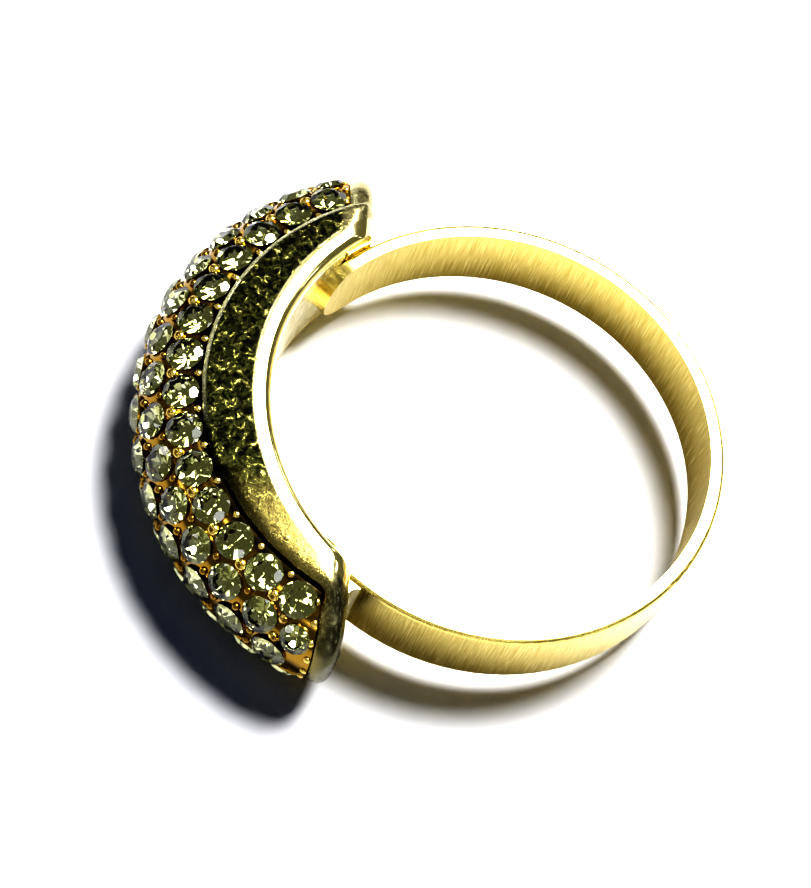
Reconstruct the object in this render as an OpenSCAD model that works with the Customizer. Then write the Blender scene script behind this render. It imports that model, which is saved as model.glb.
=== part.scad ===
// Pave dome cocktail ring, lying on its side: the finger hole runs along Z,
// the stone-set head points along -X and the plain band closes the loop on +X.

/* [Finger hole and band] */
// Radius of the finger hole
bore_radius = 8.6; // [8.2:0.05:9]
// Width of the band along the finger
band_width = 3.2; // [2.4:0.1:3.9]
// Radial thickness of the band
band_thickness = 0.55; // [0.45:0.05:0.7]
// Rounding of the band's two outer edges
band_edge_radius = 0.16; // [0.05:0.01:0.22]
// Arc of each band tongue that lies under the head, in degrees
tongue_arc = 17; // [10:1:24]

/* [Head frame] */
// Distance of the head's two flat ends from the finger's axis, towards the crest
end_distance = 5.5; // [4.6:0.05:6.2]
// Thickness of the plain wall past each end of the pave
end_wall = 1.1; // [0.9:0.05:1.4]
// Width of the head along the finger, at the flat rims
head_width = 5.6; // [5.4:0.1:6.8]
// Width of the frame's edge beside the pave, at the middle of the head
lip_width = 0.29; // [0.2:0.01:0.4]
// Height of that edge above the foot of the dome
lip_rise = 0.12; // [0:0.01:0.15]
// Radial width of the flat rim beside the finger
rim_width = 0.5; // [0.3:0.05:0.7]
// Chamfer between the flat rim and the inner surface
rim_bevel = 0.22; // [0.1:0.01:0.3]
// Lean of the side walls toward the pave, in degrees
wall_lean = 8; // [2:0.5:9]
// Radius of the upright corners where the side walls meet the end walls
corner_radius = 1.15; // [0.8:0.05:1.2]
// Rounding between each end wall and the crest
crest_round = 0.8; // [0.4:0.05:1]

/* [Crest line] */
// Height of the crest above the band's outer face, at the middle of the head
head_height = 4.8; // [4.5:0.1:5.4]
// Distance from the finger's axis to the centre of the crest line
crest_offset = 2.45; // [2.1:0.05:2.95]

/* [Back liner] */
// Thickness of the plate that closes the hollow back
liner_thickness = 0.45; // [0.3:0.05:0.55]
// Width of the frame's edge on each side of the liner
liner_border = 0.62; // [0.5:0.01:0.8]
// Width of the hollow behind the liner
cavity_width = 2.3; // [1.6:0.1:2.6]
// Metal left between the hollow and the pave plate's pocket
cavity_floor = 0.65; // [0.4:0.05:0.8]

/* [Pave plate] */
// Depth of the plate's skirt inside the frame's lip
skirt_depth = 0.3; // [0.2:0.05:0.4]
// Wall of the domed plate
plate_wall = 0.95; // [0.9:0.05:1.1]
// Gap between the plate and the frame around it
plate_clearance = 0.02; // [0.01:0.01:0.04]

/* [Stones] */
// Number of columns of stones along the head
column_count = 29; // [25:2:29]
// Angle between neighbouring rows across the dome, in degrees
row_step = 34; // [33:0.5:36]
// Metal left between neighbouring stones
stone_gap = 0.1; // [0.06:0.01:0.2]
// How much larger the stones of the crest row are than the others
crest_extra = 0.08; // [0:0.01:0.12]
// Distance from the plate's ends to the centres of the last edge stones
end_space = 0.83; // [0.75:0.01:0.95]
// Distance from the plate's ends to the centres of the corner stones
corner_space = 0.73; // [0.6:0.01:0.75]
// Height of the girdle above the dome's surface
stone_rise = 0.02; // [0:0.01:0.06]
// Gap around each girdle in its seat
seat_clearance = 0.02; // [0.01:0.01:0.03]
// Radius of the grains of metal between the stones
grain_radius = 0.17; // [0.12:0.01:0.2]

/* [Solder] */
// Radius of the solder fillet where the band meets the head
solder_radius = 0.4; // [0.2:0.05:0.5]

/* [Hidden] */
$fn = 96;
eps = 0.01;
band_outer = bore_radius + band_thickness;
crest_radius = band_outer + head_height - crest_offset;
// Half-width of the dome that the leaning side walls leave between the two lips
dome_radius = (head_width / 2 - lip_width - (head_height - rim_bevel - rim_width) * tan(wall_lean))
    / (1 - tan(wall_lean));
dome_width = 2 * dome_radius;
dome_centre = crest_radius - dome_radius;
land_radius = dome_centre - skirt_depth;
plate_end = end_distance + end_wall;
far_out = crest_offset + crest_radius + 2;
head_middle = 180;
// Half of the arc of finger that the head covers
head_half_arc = acos(end_distance / band_outer);

girdle_height = 0.05;
crown_share = 0.16;
pavilion_share = 0.43;
table_share = 0.56;
culet_hole = 0.22;
last_column = column_count - 1;
function row_radius(row) = dome_centre + dome_radius * cos(row * row_step);
// Angle from the head's middle at which a stone of a row is at its place by the plate's end
function end_angle(row, space) = acos((plate_end + space - crest_offset) / row_radius(row));
column_span = end_angle(2, end_space);
column_step = 2 * column_span / (column_count - 3);
corner_angle = end_angle(1, corner_space);
// Columns are evenly spaced, but for the first and last, which hold the corner stones
function column_angle(i) = head_middle + (
    i == 0 ? -corner_angle
    : i == last_column ? corner_angle
    : (i - 1) * column_step - column_span);
// Odd columns hold the crest and edge rows, even columns the two between
function column_rows(i) = i % 2 == 1 ? [-2, 0, 2] : [-1, 1];
// Distance between the centres of two stones in the given rows, one turned about the crest's centre
function seat_place(row, turn) =
    [row_radius(row) * cos(turn), row_radius(row) * sin(turn), dome_radius * sin(row * row_step)];
function apart(row, other, turn) = norm(seat_place(row, turn) - seat_place(other, 0));
// Largest stones that keep the gap to their neighbours, to the plate's ends and to the lips
small_stone = min(
    apart(2, 2, 2 * column_step), apart(2, 1, column_step),
    apart(1, 0, column_step) - crest_extra / 2, apart(0, 0, 2 * column_step) - crest_extra,
    2 * dome_radius / tan(2 * row_step), 2 * end_space - stone_gap) - stone_gap;
crest_stone = small_stone + crest_extra;
corner_turn = corner_angle - column_span;
corner_stone = min(
    2 * apart(1, 2, corner_turn) - small_stone, 2 * apart(1, 0, corner_turn) - crest_stone,
    2 * corner_space) - 2 * stone_gap;
function stone_size(i, row) =
    i == 0 || i == last_column ? corner_stone
    : row == 0 ? crest_stone
    : small_stone;
function two_digits(n) = n < 10 ? str("0", n) : str(n);
function column_name(i) = str("stone_column_", two_digits(i + 1));
// Share of the way to the next row at which three stones leave a gap
grain_place = 0.67;
// Share of the solder's radius by which its thin edges are cut off
solder_blunt = 0.3;

gold = [0.80, 0.66, 0.33];
pale_gold = [0.86, 0.77, 0.50];
deep_gold = [0.70, 0.55, 0.24];
crystal = [0.88, 0.90, 0.86];

// Places its children on the centre of the crest line
module at_crest_centre() {
    translate([-crest_offset, 0, 0]) children();
}

// Ring of rectangular section about the finger's axis
module tube(inner, outer, height) {
    difference() {
        cylinder(r = outer, h = height, center = true);
        cylinder(r = inner, h = height + 1, center = true);
    }
}

// Everything further toward the crest than the given distance
module beyond(distance) {
    translate([-far_out, -far_out, -far_out])
        cube([far_out - distance, 2 * far_out, 2 * far_out]);
}

// Half-round section of the dome on a straight foot
module dome_section(radius, foot) {
    translate([dome_centre, 0]) {
        intersection() {
            circle(radius);
            translate([0, -radius]) square([radius, 2 * radius]);
        }
        translate([-foot, -radius]) square([foot + eps, 2 * radius]);
    }
}

// Section of the crescent: chamfers, flat rims and leaning side walls
module crescent_section() {
    half = head_width / 2;
    rim_start = band_outer + rim_bevel;
    rim_end = rim_start + rim_width;
    top = half - (far_out - rim_end) * tan(wall_lean);
    polygon([
        [band_outer, -half + rim_bevel], [rim_start, -half], [rim_end, -half], [far_out, -top],
        [far_out, top], [rim_end, half], [rim_start, half], [band_outer, half - rim_bevel]]);
}

// Head's outline from the side: a disc cut off flat, with two rounded corners. The disc is a
// hair larger than the dome, so that the roundings cross the dome and don't only touch it
module head_outline() {
    disc_radius = crest_radius + eps;
    round_x = -end_distance - crest_round;
    round_reach = disc_radius - crest_round;
    round_y = sqrt(pow(round_reach, 2) - pow(round_x + crest_offset, 2));
    touch = disc_radius / round_reach;
    difference() {
        intersection() {
            translate([-crest_offset, 0]) circle(disc_radius);
            translate([-far_out, -far_out]) square([far_out - end_distance, 2 * far_out]);
        }
        for (side = [0, 1]) {
            mirror([0, side])
                difference() {
                    polygon([
                        [round_x, round_y], [-end_distance, round_y], [-end_distance + 1, round_y],
                        [-end_distance + 1, far_out], [round_x, far_out],
                        [(round_x + crest_offset) * touch - crest_offset, round_y * touch]]);
                    translate([round_x, round_y]) circle(crest_round);
                }
        }
    }
}

// Head's outline from the band's side: an end rounded where it meets the side walls
module end_outline() {
    half = head_width / 2;
    corner_x = -end_distance - corner_radius;
    translate([-far_out, -half]) square([far_out + corner_x, head_width]);
    translate([-far_out, -half + corner_radius])
        square([far_out - end_distance, head_width - 2 * corner_radius]);
    for (side = [-1, 1]) {
        translate([corner_x, side * (half - corner_radius)]) circle(corner_radius);
    }
}

// Round stone with a flat table, its girdle at height zero
module stone(diameter) {
    radius = diameter / 2;
    table = radius * table_share;
    top = girdle_height + diameter * crown_share;
    rotate_extrude()
        polygon([
            [0, -diameter * pavilion_share], [radius, 0], [radius, girdle_height],
            [table, top], [0, top]]);
}

// Seat of a stone: bearing cone, girdle wall and a small hole under the culet
module seat(diameter) {
    radius = diameter / 2;
    depth = diameter * pavilion_share;
    foot = -depth * (1 - culet_hole / radius);
    rotate_extrude()
        polygon([
            [0, -plate_wall - 1], [culet_hole, -plate_wall - 1], [culet_hole, foot], [radius, 0],
            [radius + seat_clearance, 0], [radius + seat_clearance, 1], [0, 1]]);
}

// Places its children on the dome, their Z pointing out of the surface
module on_dome(along, across, rise) {
    at_crest_centre()
        rotate([0, 0, along])
            translate([dome_centre, 0, 0])
                rotate([0, 90 - across, 0])
                    translate([0, 0, dome_radius + rise])
                        children();
}

// Metal grains in the gaps between three neighbouring stones
module grains() {
    for (i = [1 : last_column - 1]) {
        for (row = column_rows(i)) {
            for (up = [-1, 1]) {
                place = row + up * grain_place;
                if (abs(place) < 2) {
                    on_dome(column_angle(i), place * row_step, 0) sphere(r = grain_radius);
                }
            }
        }
    }
}

// Removes the sharp outer corner of the band's section
module band_edge_cut() {
    translate([band_outer - band_edge_radius, band_width / 2 - band_edge_radius])
        difference() {
            square(band_edge_radius + eps);
            circle(band_edge_radius);
        }
}

// Gives a tongue under the head its round end
module tongue_rounding(side) {
    half = band_width / 2;
    rotate([0, 0, head_middle + side * (head_half_arc - tongue_arc)])
        mirror([0, side < 0 ? 1 : 0, 0])
            difference() {
                translate([bore_radius - 1, -1, -half - 1])
                    cube([band_thickness + 2, half + 1, band_width + 2]);
                translate([bore_radius - 2, half, 0])
                    rotate([0, 90, 0])
                        cylinder(r = half, h = band_thickness + 4);
            }
}

module band() {
    half_gap = head_half_arc - tongue_arc;
    color(gold)
        difference() {
            rotate_extrude(angle = 360 - 2 * half_gap, start = head_middle + half_gap)
                difference() {
                    translate([bore_radius, -band_width / 2]) square([band_thickness, band_width]);
                    for (side = [0, 1]) {
                        mirror([0, side]) band_edge_cut();
                    }
                }
            for (side = [-1, 1]) tongue_rounding(side);
        }
}

// Keeps what lies past the given distance and leaves a floor under the plate's pocket
module behind_pocket(distance) {
    intersection() {
        children();
        at_crest_centre() cylinder(r = land_radius - cavity_floor, h = head_width, center = true);
        beyond(distance);
    }
}

module head_frame() {
    color(deep_gold)
        difference() {
            intersection() {
                union() {
                    // Crescent below the pave, up to the lip around the plate
                    intersection() {
                        rotate_extrude() crescent_section();
                        at_crest_centre()
                            cylinder(r = dome_centre + lip_rise, h = head_width, center = true);
                    }
                    // Dome that is left standing as the two end walls
                    difference() {
                        at_crest_centre() rotate_extrude() dome_section(dome_radius, skirt_depth);
                        beyond(plate_end);
                    }
                }
                linear_extrude(height = 2 * head_width, center = true) head_outline();
                rotate([90, 0, 0])
                    linear_extrude(height = 2 * far_out, center = true) end_outline();
            }
            // Pocket of the pave plate
            intersection() {
                at_crest_centre() tube(land_radius, far_out, dome_width);
                beyond(plate_end);
            }
            // Recess of the liner, and the hollow behind it
            behind_pocket(plate_end)
                tube(bore_radius, band_outer + liner_thickness, head_width - 2 * liner_border);
            behind_pocket(plate_end + end_wall) tube(bore_radius, far_out, cavity_width);
        }
}

module back_liner() {
    color(pale_gold)
        behind_pocket(plate_end)
            tube(band_outer, band_outer + liner_thickness, head_width - 2 * liner_border);
}

module pave_plate() {
    color(gold)
        difference() {
            union() {
                intersection() {
                    at_crest_centre()
                        rotate_extrude(angle = 180, start = 90)
                            difference() {
                                dome_section(dome_radius - plate_clearance, skirt_depth);
                                dome_section(dome_radius - plate_wall, skirt_depth + 1);
                            }
                    beyond(plate_end + plate_clearance);
                }
                grains();
            }
            for (i = [0 : last_column]) {
                for (row = column_rows(i)) {
                    on_dome(column_angle(i), row * row_step, stone_rise) seat(stone_size(i, row));
                }
            }
        }
}

// Fillet of solder in the notch between the head's end and the band's outer face. Its two thin
// edges are cut off blunt, and its foot starts inside the band before the band is taken away
module solder(side) {
    centre_x = -end_distance + solder_radius;
    reach = band_outer + solder_radius;
    centre_y = sqrt(pow(reach, 2) - pow(centre_x, 2));
    touch = band_outer / reach;
    foot_y = band_outer * sin(head_half_arc) - band_thickness;
    blunt = solder_radius * solder_blunt;
    color(pale_gold)
        mirror([0, side < 0 ? 1 : 0, 0])
            linear_extrude(height = band_width - 2 * band_edge_radius, center = true)
                difference() {
                    polygon([
                        [-end_distance, foot_y], [-end_distance, centre_y - blunt],
                        [centre_x, centre_y - blunt], [centre_x, centre_y],
                        [centre_x * touch - blunt, centre_y * touch - band_thickness / 2]]);
                    translate([centre_x, centre_y]) circle(solder_radius);
                    circle(band_outer);
                }
}

module solder_upper() {
    solder(1);
}

module solder_lower() {
    solder(-1);
}

module stone_column(i) {
    color(crystal)
        for (row = column_rows(i)) {
            on_dome(column_angle(i), row * row_step, stone_rise) stone(stone_size(i, row));
        }
}

band();
head_frame();
back_liner();
pave_plate();
solder_upper();
solder_lower();
for (i = [0 : last_column]) {
    stone_column(i);
}
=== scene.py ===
import math
import random

import bmesh
import bpy
from mathutils import Matrix, Vector


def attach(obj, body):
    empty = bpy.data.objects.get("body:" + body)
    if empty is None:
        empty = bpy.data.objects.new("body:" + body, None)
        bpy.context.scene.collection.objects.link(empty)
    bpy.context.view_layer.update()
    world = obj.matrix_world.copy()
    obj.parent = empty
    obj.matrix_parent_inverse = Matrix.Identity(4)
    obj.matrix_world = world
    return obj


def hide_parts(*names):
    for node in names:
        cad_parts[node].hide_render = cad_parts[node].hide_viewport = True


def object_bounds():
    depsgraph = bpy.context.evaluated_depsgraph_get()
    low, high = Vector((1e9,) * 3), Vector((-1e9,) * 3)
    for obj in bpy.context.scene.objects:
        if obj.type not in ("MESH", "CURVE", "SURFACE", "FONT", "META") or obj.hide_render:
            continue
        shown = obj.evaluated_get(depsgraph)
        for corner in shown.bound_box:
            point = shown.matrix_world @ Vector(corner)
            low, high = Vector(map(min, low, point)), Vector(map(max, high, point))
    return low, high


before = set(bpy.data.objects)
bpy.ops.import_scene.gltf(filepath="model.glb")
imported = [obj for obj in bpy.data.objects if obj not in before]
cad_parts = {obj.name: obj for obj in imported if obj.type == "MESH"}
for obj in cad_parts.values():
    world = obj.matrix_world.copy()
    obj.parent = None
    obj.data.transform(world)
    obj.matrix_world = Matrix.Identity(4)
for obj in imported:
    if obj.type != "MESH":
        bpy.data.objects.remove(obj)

cad_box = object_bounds()


# --- Band -------------------------------------------------------------------------------------
# The plain hoop around the finger: a flat strip of brass, rolled, bent, soldered to the head and
# plated with yellow gold. Fine strokes run across the strip, as the emery stick left them under
# the plating. The CAD shape stays.
MM = 0.001


def linear(colour):
    """An sRGB hex colour as linear RGBA."""
    parts = [int(colour[i:i + 2], 16) / 255 for i in (1, 3, 5)]
    return [c / 12.92 if c <= 0.04045 else ((c + 0.055) / 1.055) ** 2.4 for c in parts] + [1]


def add_node(tree, kind, inputs=None, stops=None, **settings):
    """Adds a node: settings by name, inputs as values or as the sockets that feed them, ramp stops."""
    node = tree.nodes.new(kind)
    for name, value in settings.items():
        setattr(node, name, value)
    for name, value in (inputs or {}).items():
        if isinstance(value, bpy.types.NodeSocket):
            tree.links.new(value, node.inputs[name])
        else:
            node.inputs[name].default_value = value
    for i, (place, colour) in enumerate(stops or []):
        marks = node.color_ramp.elements
        stop = marks[i] if i < len(marks) else marks.new(place)
        stop.position = place
        stop.color = linear(colour)
    return node


def start_material(name, **shader_values):
    """A material with one Principled shader, given by socket name, and its tree to build on."""
    material = bpy.data.materials.new(name)
    material.use_nodes = True
    tree = material.node_tree
    shader = tree.nodes["Principled BSDF"]
    for socket, value in shader_values.items():
        shader.inputs[socket.replace("_", " ")].default_value = value
    return material, tree, shader


def dress(node, material):
    """Gives a CAD node one material in place of its own."""
    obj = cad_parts[node]
    obj.data.materials.clear()
    obj.data.materials.append(material)


band_inside = 8.6 * MM
stroke_width = 0.05 * MM
stroke_length = 1.6 * MM
stroke_depth = 0.01 * MM

# Gold plate over emery strokes: they run darker and lighter and draw each highlight out across the
# strip. Real strokes are too fine to show, so these are drawn wider.
brushed_gold, tree, shader = start_material("gold_plate_brushed", Metallic=1.0)
place = add_node(tree, "ShaderNodeTexCoord").outputs["Object"]
xyz = add_node(tree, "ShaderNodeSeparateXYZ", {0: place})
turn = add_node(tree, "ShaderNodeMath", {0: xyz.outputs["Y"], 1: xyz.outputs["X"]}, operation="ARCTAN2")
around = add_node(tree, "ShaderNodeMath", {0: turn.outputs[0], 1: band_inside / stroke_width},
                  operation="MULTIPLY")
across = add_node(tree, "ShaderNodeMath", {0: xyz.outputs["Z"], 1: 1 / stroke_length},
                  operation="MULTIPLY")
stroke_place = add_node(tree, "ShaderNodeCombineXYZ", {"X": around.outputs[0], "Y": across.outputs[0]})
strokes = add_node(tree, "ShaderNodeTexNoise", {"Vector": stroke_place.outputs[0], "Scale": 1.0,
                                                "Detail": 3.0, "Roughness": 0.6})
tint = add_node(tree, "ShaderNodeValToRGB", {0: strokes.outputs[0]},
                stops=[(0.3, "#CDB55C"), (0.7, "#F6E69C")])
rub = add_node(tree, "ShaderNodeMapRange", {0: strokes.outputs[0], 3: 0.16, 4: 0.34})
ridges = add_node(tree, "ShaderNodeBump", {"Height": strokes.outputs[0], "Strength": 0.25,
                                           "Distance": stroke_depth})
tree.links.new(tint.outputs[0], shader.inputs["Base Color"])
tree.links.new(rub.outputs[0], shader.inputs["Roughness"])
tree.links.new(ridges.outputs[0], shader.inputs["Normal"])
dress("band", brushed_gold)


# --- Head frame -------------------------------------------------------------------------------
# The crescent that carries the stones: one brass casting, filed, buffed and plated with gold. Its
# flat rims shine, while the leaning side walls are rubbed and dented from wear; their near-black is a
# painted dark reflection. The CAD shape is copied, and its edges and above all its two ends are worn
# round, as buffing leaves them.
crest_centre = Vector((-2.45, 0)) * MM
dome_centre = 9.247 * MM
dome_radius = 2.253 * MM
end_distance = 5.5 * MM
end_round = 0.8 * MM
round_start = -(end_distance + end_round)
at_surface = 1.05
skin_step_mm = 0.085
edge_passes = 6
end_kept = 6.45 * MM
end_passes = 10
rim_kept = 9.6 * MM
handled_start = 4 * MM
handled_height = 2 * MM
handled_passes = 70
rim_end = 9.81 * MM
wall_start = 9.95 * MM
wall_end = 7.0 * MM
cap_start = 6.1 * MM
low_end_start = -3.5 * MM
low_end_full = -9.5 * MM
upper_start = -2.5 * MM
upper_full = 0.5 * MM
lip_start = dome_centre - 0.06 * MM
lip_full = dome_centre + 0.02 * MM
rubbed_patch = 0.30 * MM
scratch_width = 0.18 * MM
dent_depth = 0.03 * MM


def buffed_copy(node, name):
    """A copy of a CAD node under an even skin of small faces, with its edges and ends worn round."""
    # The skin is laid at millimetre scale, because its step can't be as small as this in metres
    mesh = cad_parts[node].data.copy()
    mesh.transform(Matrix.Scale(1 / MM, 4))
    blank = bpy.data.objects.new(name, mesh)
    bpy.context.scene.collection.objects.link(blank)
    skin = blank.modifiers.new("skin", "REMESH")
    skin.mode = "VOXEL"
    skin.voxel_size = skin_step_mm
    wear = blank.modifiers.new("wear", "SMOOTH")
    wear.factor = 0.5
    wear.iterations = edge_passes
    worn = blank.evaluated_get(bpy.context.evaluated_depsgraph_get())
    bm = bmesh.new()
    bm.from_mesh(worn.to_mesh())
    bpy.data.objects.remove(blank)
    bmesh.ops.scale(bm, verts=bm.verts, vec=(MM, MM, MM))
    # The corner between each end and the dome: what stands past the rounding is brought onto it
    for v in bm.verts:
        arm = v.co.xy - crest_centre
        spoke = Vector((arm.length - dome_centre, v.co.z))
        past = Vector((v.co.x - round_start, spoke.length - dome_radius + end_round))
        near_dome = spoke.x > 0 and min(past) > 0 and past.y < at_surface * end_round
        if near_dome and past.length > end_round:
            past *= end_round / past.length
            spoke *= (dome_radius - end_round + past.y) / spoke.length
            v.co = (round_start + past.x, arm.y * (dome_centre + spoke.x) / arm.length, spoke.y)
    # The ends, and the lower end of the upper wall, where a hand has rubbed the edge away
    outside = [v for v in bm.verts if v.co.xy.length > rim_kept]
    ends = [v for v in outside if v.co.x > -end_kept]
    handled = [v for v in outside if v.co.y < -handled_start and v.co.z > handled_height]
    for verts, passes in ((ends, end_passes), (handled, handled_passes)):
        for _ in range(passes):
            bmesh.ops.smooth_vert(bm, verts=verts, factor=0.5, use_axis_x=True, use_axis_y=True,
                                  use_axis_z=True)
    for face in bm.faces:
        face.smooth = True
    mesh = bpy.data.meshes.new(name)
    bm.to_mesh(mesh)
    bm.free()
    piece = bpy.data.objects.new(name, mesh)
    bpy.context.scene.collection.objects.link(piece)
    return piece


# Gold plate, worn, with painted light: the rims are bright and pale. Past them the wall is painted
# nearly black, a painted dark reflection, broken by rubbed patches of gold and by scratches, drawn
# wider than real ones so that they show. Toward its lower end it turns to a smooth, paler dull gold,
# a painted sheen. The lip by the stones carries a painted highlight on its upper half, and the two
# ends are a dull, greyed gold, painted darker toward the lower end as a painted dark reflection.
worn_gold_with_painted_light, tree, shader = start_material("gold_plate_worn_painted_light", Metallic=1.0)
place = add_node(tree, "ShaderNodeTexCoord").outputs["Object"]
xyz = add_node(tree, "ShaderNodeSeparateXYZ", {0: place})
flat_place = add_node(tree, "ShaderNodeVectorMath", {0: place, 1: (1, 1, 0)}, operation="MULTIPLY")
reach = add_node(tree, "ShaderNodeVectorMath", {0: flat_place.outputs[0]}, operation="LENGTH")
past_rim = add_node(tree, "ShaderNodeMapRange", {0: reach.outputs[1], 1: rim_end, 2: wall_start})
inward = add_node(tree, "ShaderNodeMapRange", {0: xyz.outputs["X"], 1: -wall_end, 2: -cap_start,
                                               3: 1, 4: 0})
side_wall_area = add_node(tree, "ShaderNodeMath", {0: past_rim.outputs[0], 1: inward.outputs[0]},
                     operation="MULTIPLY")
patches = add_node(tree, "ShaderNodeTexNoise", {"Vector": place, "Scale": 1 / rubbed_patch,
                                                "Detail": 6.0, "Roughness": 0.7,
                                                "Distortion": 0.8})
scratches = add_node(tree, "ShaderNodeTexNoise", {"Vector": place, "Scale": 1 / scratch_width,
                                                  "Detail": 3.0, "Roughness": 0.7,
                                                  "Distortion": 2.5})
relief = add_node(tree, "ShaderNodeMath", {0: scratches.outputs[0], 1: 0.5, 2: patches.outputs[0]},
                  operation="MULTIPLY_ADD")
# Painted dark reflection: the near-black stops stand for the dark room the wall mirrors; the pale stop
# is rubbed gold, which is wear
wall_dark_reflection_and_wear = add_node(tree, "ShaderNodeValToRGB", {0: patches.outputs[0]},
                   stops=[(0.44, "#0B0C05"), (0.58, "#33341A"), (0.70, "#B9B06E")])
# Toward the lower end the wall is painted a paler gold, a painted sheen, and the end caps are painted
# darker, a painted dark reflection
low_end = add_node(tree, "ShaderNodeMapRange", {0: xyz.outputs["Y"], 1: low_end_start, 2: low_end_full},
                   interpolation_type="SMOOTHSTEP")
wall_painted_light_and_wear = add_node(tree, "ShaderNodeMix", {0: low_end.outputs[0], 6: wall_dark_reflection_and_wear.outputs[0],
                                           7: linear("#A0925A")}, data_type="RGBA")
end_gold_shaded_low = add_node(tree, "ShaderNodeMix", {0: low_end.outputs[0], 6: linear("#B3A97E"),
                                            7: linear("#5E5C46")}, data_type="RGBA")
cap = add_node(tree, "ShaderNodeMix", {0: past_rim.outputs[0], 6: linear("#EDE0A4"),
                                       7: end_gold_shaded_low.outputs[2]}, data_type="RGBA")
# Painted highlight: the lip is painted pale, on its upper half only
from_crest = add_node(tree, "ShaderNodeVectorMath", {0: flat_place.outputs[0],
                                                     1: crest_centre.to_3d()}, operation="DISTANCE")
lip = add_node(tree, "ShaderNodeMapRange", {0: from_crest.outputs[1], 1: lip_start, 2: lip_full})
upper_part = add_node(tree, "ShaderNodeMapRange", {0: xyz.outputs["Y"], 1: upper_start, 2: upper_full})
lip_painted_highlight = add_node(tree, "ShaderNodeMath", {0: lip.outputs[0], 1: upper_part.outputs[0]},
                      operation="MULTIPLY")
wall = add_node(tree, "ShaderNodeMix", {0: lip_painted_highlight.outputs[0], 6: wall_painted_light_and_wear.outputs[2],
                                        7: linear("#F1EBC4")}, data_type="RGBA")
tint = add_node(tree, "ShaderNodeMix", {0: side_wall_area.outputs[0], 6: cap.outputs[2],
                                        7: wall.outputs[2]}, data_type="RGBA")
rub = add_node(tree, "ShaderNodeMapRange", {0: patches.outputs[0], 1: 0.3, 2: 0.7, 3: 0.34, 4: 0.16})
gloss = add_node(tree, "ShaderNodeMix", {0: past_rim.outputs[0], 2: 0.12, 3: rub.outputs[0]})
depth = add_node(tree, "ShaderNodeMath", {0: side_wall_area.outputs[0], 1: 0.7}, operation="MULTIPLY")
dents = add_node(tree, "ShaderNodeBump", {"Height": relief.outputs[0], "Strength": depth.outputs[0],
                                          "Distance": dent_depth})
tree.links.new(tint.outputs[2], shader.inputs["Base Color"])
tree.links.new(gloss.outputs[0], shader.inputs["Roughness"])
tree.links.new(dents.outputs[0], shader.inputs["Normal"])
head = buffed_copy("head_frame", "head_frame_buffed")
head.data.materials.append(worn_gold_with_painted_light)
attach(head, "root")
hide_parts("head_frame")


# --- Back liner and solder --------------------------------------------------------------------
# The strip that closes the hollow back, in a paler, finely rubbed gold, and the two fillets of
# solder that hold the band. Both are as the polishing wheel left them. The CAD shapes stay.
cloud_width = 0.8 * MM

# Thin gold plate from the wheel: soft clouds, a little paler and duller where it rubbed more
pale_gold, tree, shader = start_material("gold_plate_pale", Metallic=1.0)
place = add_node(tree, "ShaderNodeTexCoord").outputs["Object"]
cloud = add_node(tree, "ShaderNodeTexNoise", {"Vector": place, "Scale": 1 / cloud_width,
                                              "Detail": 4.0, "Roughness": 0.6})
tint = add_node(tree, "ShaderNodeValToRGB", {0: cloud.outputs[0]},
                stops=[(0.3, "#F8EDBE"), (0.7, "#FFFBE6")])
rub = add_node(tree, "ShaderNodeMapRange", {0: cloud.outputs[0], 3: 0.2, 4: 0.34})
tree.links.new(tint.outputs[0], shader.inputs["Base Color"])
tree.links.new(rub.outputs[0], shader.inputs["Roughness"])
dress("back_liner", pale_gold)
dress("solder_upper", pale_gold)
dress("solder_lower", pale_gold)


# --- Pave plate -------------------------------------------------------------------------------
# The domed plate that the stones sit in: cast brass, plated with gold and pressed into the frame.
# It shows as deep, warm gold between the stones, with painted shade there, and with a painted shadow
# in the groove along each lip. The CAD shape stays.
groove_shadow_start = 2.16 * MM
groove_shadow_full = groove_shadow_start + 0.05 * MM

# Bright gold plate, painted a dark amber, partly as painted shade of the recesses between the stones
# and partly as dirt, and painted near black in the grooves by the lips as a painted shadow
plate_gold, tree, shader = start_material("gold_plate_bright", Metallic=1.0, Roughness=0.14)
place = add_node(tree, "ShaderNodeTexCoord").outputs["Object"]
xyz = add_node(tree, "ShaderNodeSeparateXYZ", {0: place})
height = add_node(tree, "ShaderNodeMath", {0: xyz.outputs["Z"]}, operation="ABSOLUTE")
groove = add_node(tree, "ShaderNodeMapRange", {0: height.outputs[0], 1: groove_shadow_start, 2: groove_shadow_full})
tint = add_node(tree, "ShaderNodeValToRGB", {0: groove.outputs[0]},
                stops=[(0.0, "#9A7C34"), (1.0, "#2B2412")])
tree.links.new(tint.outputs[0], shader.inputs["Base Color"])
dress("pave_plate", plate_gold)


# --- Stones -----------------------------------------------------------------------------------
# 72 round brilliants of clear crystal glass, cut by machine and backed with a silvery foil, set in
# crosswise columns of two and three. Each is cut here as a gem is cut: a blank is ground flat by
# flat, and the flats are the facets. Its foot is a little small, so that it clears its seat.

# The cut's sizes are in diameters of the stone, and a reach is how far out a flat is ground
girdle_radius = 0.493
girdle_edge = 0.5 * math.cos(math.pi / 16)
bezel_slope = math.radians(33)
bezel_reach = girdle_radius * math.sin(bezel_slope) + 0.012
main_slope = math.radians(40)
main_reach = girdle_radius * math.sin(main_slope) - 0.014
upper_slope = math.radians(39.5)
upper_reach = girdle_edge * math.sin(upper_slope) + 0.014
lower_slope = math.radians(42)
lower_reach = girdle_edge * math.sin(lower_slope) - 0.006
star_slope = math.radians(18)
star_reach = 0.226
table_reach = 0.155
facing_down = -0.1
same_point = 0.0005 * MM
least_table = 0.6
girdle_share = 0.98


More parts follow.
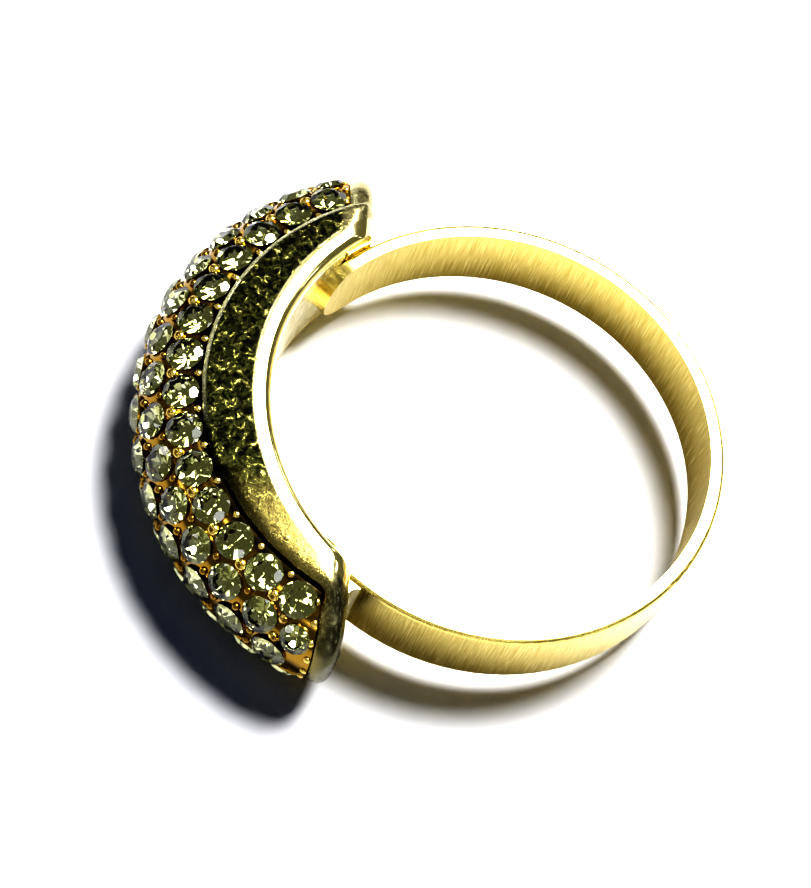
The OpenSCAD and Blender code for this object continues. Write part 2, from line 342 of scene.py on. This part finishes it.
def grind(bm, slope, reach, count, turn, upward):
    """Grinds a ring of flats, tipped by slope from the girdle's plane, at reach from the centre."""
    for i in range(count):
        spin = Matrix.Rotation(math.tau * i / count + turn, 3, "Z")
        flat = spin @ Vector((math.sin(slope), 0, upward * math.cos(slope)))
        geometry = bm.verts[:] + bm.edges[:] + bm.faces[:]
        cut = bmesh.ops.bisect_plane(bm, geom=geometry, dist=1e-6, plane_co=flat * reach,
                                     plane_no=flat, clear_outer=True)
        edges = [e for e in cut["geom_cut"] if isinstance(e, bmesh.types.BMEdge)]
        if edges:
            bmesh.ops.contextual_create(bm, geom=edges)


def cut_brilliant():
    """A round brilliant, 1 across, its girdle at height zero and its table upward."""
    bm = bmesh.new()
    bmesh.ops.create_cone(bm, cap_ends=True, segments=16, radius1=0.5, radius2=0.5, depth=2)
    grind(bm, bezel_slope, bezel_reach, 8, 0, 1)
    grind(bm, main_slope, main_reach, 8, 0, -1)
    grind(bm, upper_slope, upper_reach, 16, math.pi / 16, 1)
    grind(bm, lower_slope, lower_reach, 16, math.pi / 16, -1)
    grind(bm, 0, table_reach, 1, 0, 1)
    grind(bm, star_slope, star_reach, 8, math.pi / 8, 1)
    bmesh.ops.remove_doubles(bm, verts=bm.verts, dist=1e-5)
    bmesh.ops.recalc_face_normals(bm, faces=bm.faces)
    for face in bm.faces:
        face.material_index = 1 if face.normal.z < facing_down else 0
    mesh = bpy.data.meshes.new("brilliant")
    bm.to_mesh(mesh)
    bm.free()
    return mesh


def stones_in(node):
    """The girdle's centre, the upward axis and the diameter of each stone in a CAD node."""
    bm = bmesh.new()
    bm.from_mesh(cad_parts[node].data)
    bmesh.ops.remove_doubles(bm, verts=bm.verts, dist=same_point)
    bmesh.ops.dissolve_limit(bm, angle_limit=math.radians(1), verts=bm.verts, edges=bm.edges)
    largest = max(face.calc_area() for face in bm.faces)
    tables = [face for face in bm.faces if face.calc_area() > least_table * largest]
    centres = [face.calc_center_median() for face in tables]
    stones = []
    for table, centre in zip(tables, centres):
        axis = table.normal.copy()
        own = [v.co - centre for v in bm.verts
               if min(centres, key=lambda c: (v.co - c).length) is centre]
        radius = max((p - axis * p.dot(axis)).length for p in own)
        girdle = min(p.dot(axis) for p in own
                     if (p - axis * p.dot(axis)).length > girdle_share * radius)
        stones.append((centre + axis * girdle, axis, 2 * radius))
    bm.free()
    return stones


# Clear, hard-polished glass that bends light as lead crystal does, and on its foot a pale, silvery
# foil that throws the light back, so that each facet flashes or goes dark
crystal = start_material("cut_crystal_glass", Base_Color=linear("#F2F5E6"), Roughness=0.0, IOR=1.62,
                         Transmission_Weight=1.0)[0]
foil = start_material("foil_backing", Base_Color=linear("#E4E3C2"), Metallic=1.0, Roughness=0.03)[0]

brilliant = cut_brilliant()
chance = random.Random(7)
all_stones = []
for node in sorted(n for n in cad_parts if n.startswith("stone_column_")):
    bm = bmesh.new()
    for centre, axis, diameter in stones_in(node):
        all_stones.append((centre, axis, diameter))
        turn = Matrix.Rotation(chance.uniform(0, math.pi / 4), 4, "Z")
        upright = axis.to_track_quat("Z", "Y").to_matrix().to_4x4()
        first = len(bm.verts)
        bm.from_mesh(brilliant)
        bm.verts.ensure_lookup_table()
        bmesh.ops.transform(bm, verts=bm.verts[first:], matrix=(
            Matrix.Translation(centre) @ upright @ turn @ Matrix.Scale(diameter, 4)))
    mesh = bpy.data.meshes.new("crystals_" + node[-2:])
    bm.to_mesh(mesh)
    bm.free()
    stones = bpy.data.objects.new("crystals_" + node[-2:], mesh)
    bpy.context.scene.collection.objects.link(stones)
    mesh.materials.append(crystal)
    mesh.materials.append(foil)
    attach(stones, "root")
    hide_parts(node)


# --- Grains -----------------------------------------------------------------------------------
# Beads of the plate's own metal, raised with a graver in the gaps between the stones, along the
# lips and along the plate's two ends, and pushed over the girdles. A beading tool has rounded each
# to a tiny bright cap.
touching = 1.2
bead_overlap = 0.07 * MM
bead_height = 0.6
bead_rise = 0.1 * MM
edge_lean = 0.85
lip_angle = math.radians(84)
lip_bead = 0.17 * MM
end_bead = 0.15 * MM
end_bead_x = -6.75 * MM
end_bead_step = math.radians(19)
end_beads_each_way = 4


def add_bead(bm, centre, axis, radius):
    """One rounded bead of gold standing on the plate."""
    upright = axis.to_track_quat("Z", "Y").to_matrix().to_4x4()
    squat = Matrix.Diagonal((1, 1, bead_height, 1))
    bmesh.ops.create_icosphere(bm, subdivisions=2, radius=radius,
                               matrix=Matrix.Translation(centre) @ upright @ squat)


def dome_point(arm, slope):
    """The point of the dome at a slope from the crest line, along an arm, and its outward normal."""
    out = arm * math.cos(slope) + Vector((0, 0, math.sin(slope)))
    return crest_centre.to_3d() + arm * dome_centre + out * dome_radius, out


# Gold plate pressed smooth by the beading tool: each bead holds one small, sharp highlight
bead_gold = start_material("gold_plate_beads", Base_Color=linear("#E0C878"), Metallic=1.0,
                           Roughness=0.16)[0]

bm = bmesh.new()
for i, (a, axis_a, size_a) in enumerate(all_stones):
    near = [(b, axis_b, size_b) for b, axis_b, size_b in all_stones[i + 1:]
            if (a - b).length < touching * (size_a + size_b) / 2]
    for j, (b, axis_b, size_b) in enumerate(near):
        for c, axis_c, size_c in near[j + 1:]:
            if (b - c).length < touching * (size_b + size_c) / 2:
                middle = (a + b + c) / 3
                axis = (axis_a + axis_b + axis_c).normalized()
                gap = min((a - middle).length - size_a / 2, (b - middle).length - size_b / 2,
                          (c - middle).length - size_c / 2)
                add_bead(bm, middle + axis * bead_rise, axis, gap + bead_overlap)
        if axis_a.z * axis_b.z > edge_lean ** 2:
            arm = (((a + b) / 2).xy - crest_centre).normalized().to_3d()
            point, out = dome_point(arm, math.copysign(lip_angle, a.z))
            add_bead(bm, point, out, lip_bead)
for side in (-1, 1):
    for i in range(-end_beads_each_way, end_beads_each_way + 1):
        slope = end_bead_step * i
        from_axis = dome_centre + dome_radius * math.cos(slope)
        arm_x = (end_bead_x - crest_centre.x) / from_axis
        point, out = dome_point(Vector((arm_x, side * math.sqrt(1 - arm_x * arm_x), 0)), slope)
        add_bead(bm, point, out, end_bead)
for face in bm.faces:
    face.smooth = True
mesh = bpy.data.meshes.new("pave_grains")
bm.to_mesh(mesh)
bm.free()
grains = bpy.data.objects.new("pave_grains", mesh)
bpy.context.scene.collection.objects.link(grains)
mesh.materials.append(bead_gold)
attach(grains, "root")


# --- Table, light and camera ------------------------------------------------------------------
# The ring lies on its side on a sheet of white paper. One disc of light near the rims' mirror
# direction whitens them and casts the shadow; small lamps and two cards show only in the metal and
# the stones, and a faint blue fill lightens the shadows on the paper.
lowest = cad_box[0][2]
table_half = 0.6

bm = bmesh.new()
bmesh.ops.create_grid(bm, x_segments=1, y_segments=1, size=table_half)
bmesh.ops.translate(bm, verts=bm.verts, vec=(0, 0, lowest))
mesh = bpy.data.meshes.new("table_top")
bm.to_mesh(mesh)
bm.free()
table_top = bpy.data.objects.new("table_top", mesh)
bpy.context.scene.collection.objects.link(table_top)
# Plain paper: even, white and without gloss
mesh.materials.append(start_material("white_paper", Base_Color=linear("#F2F2F4"), Roughness=0.9)[0])

azimuth = math.radians(-19)
elevation = math.radians(60)
roll = math.radians(25)
distance = 110 * MM
target = Vector((-3.37, -0.51, 0)) * MM
back = Vector((math.sin(azimuth) * math.cos(elevation),
               -math.cos(azimuth) * math.cos(elevation), math.sin(elevation)))
level = Vector((math.cos(azimuth), math.sin(azimuth), 0))
right = Matrix.Rotation(roll, 3, back) @ level
upward = back.cross(right)
camera = bpy.data.objects.new("camera", bpy.data.cameras.new("camera"))
bpy.context.scene.collection.objects.link(camera)
camera.matrix_world = Matrix.Translation(target + back * distance) @ Matrix(
    (right, upward, back)).transposed().to_4x4()
camera.data.sensor_fit = "HORIZONTAL"
camera.data.sensor_width = 36
camera.data.lens = 125
camera.data.clip_start = 0.005
bpy.context.scene.camera = camera


def add_softbox(name, direction, size, power, colour, reach=0.3):
    """A round lamp, size across in metres, that faces the ring from a direction at reach."""
    lamp = bpy.data.lights.new(name, "AREA")
    lamp.shape = "DISK"
    lamp.size = size
    lamp.energy = power
    lamp.color = linear(colour)[:3]
    obj = bpy.data.objects.new(name, lamp)
    bpy.context.scene.collection.objects.link(obj)
    direction = Vector(direction).normalized()
    obj.matrix_world = Matrix.Translation(direction * reach) @ direction.to_track_quat(
        "Z", "Y").to_matrix().to_4x4()
    return obj


add_softbox("key_softbox", (0.26, 0.38, 0.885), size=0.139, power=1.35, colour="#FFFFFF")
lamp_count = 24
lamp_heights = (0.45, 0.95, 2.2)
for i in range(lamp_count):
    turn = math.tau * (i + 0.3) / lamp_count
    direction = (math.cos(turn), math.sin(turn), lamp_heights[i % 3])
    lamp = add_softbox(f"small_softbox_{i + 1}", direction, size=0.035, power=0.014, colour="#F4F8FF")
    lamp.visible_diffuse = False
far_card = add_softbox("far_card", (-0.2, 1, 0.1), size=0.12, power=0.0115, colour="#FFFFFF")
far_card.visible_diffuse = False
near_card = add_softbox("near_card", (0.1, -1, 0.2), size=0.25, power=0.05, colour="#FFFFFF")
near_card.visible_diffuse = False
sky_fill = add_softbox("sky_fill", (-0.3, -0.2, 1), size=0.3, power=0.07, colour="#4478E0", reach=0.4)
sky_fill.visible_glossy = False
sky_fill.visible_transmission = False
world = bpy.data.worlds.new("room")
world.use_nodes = True
walls = world.node_tree.nodes["Background"]
walls.inputs["Color"].default_value = linear("#B9BAA8")
walls.inputs["Strength"].default_value = 0.3
world.cycles_visibility.diffuse = False
bpy.context.scene.world = world

bpy.context.scene.view_settings.view_transform = "Standard"
bpy.context.scene.view_settings.look = "Very High Contrast"
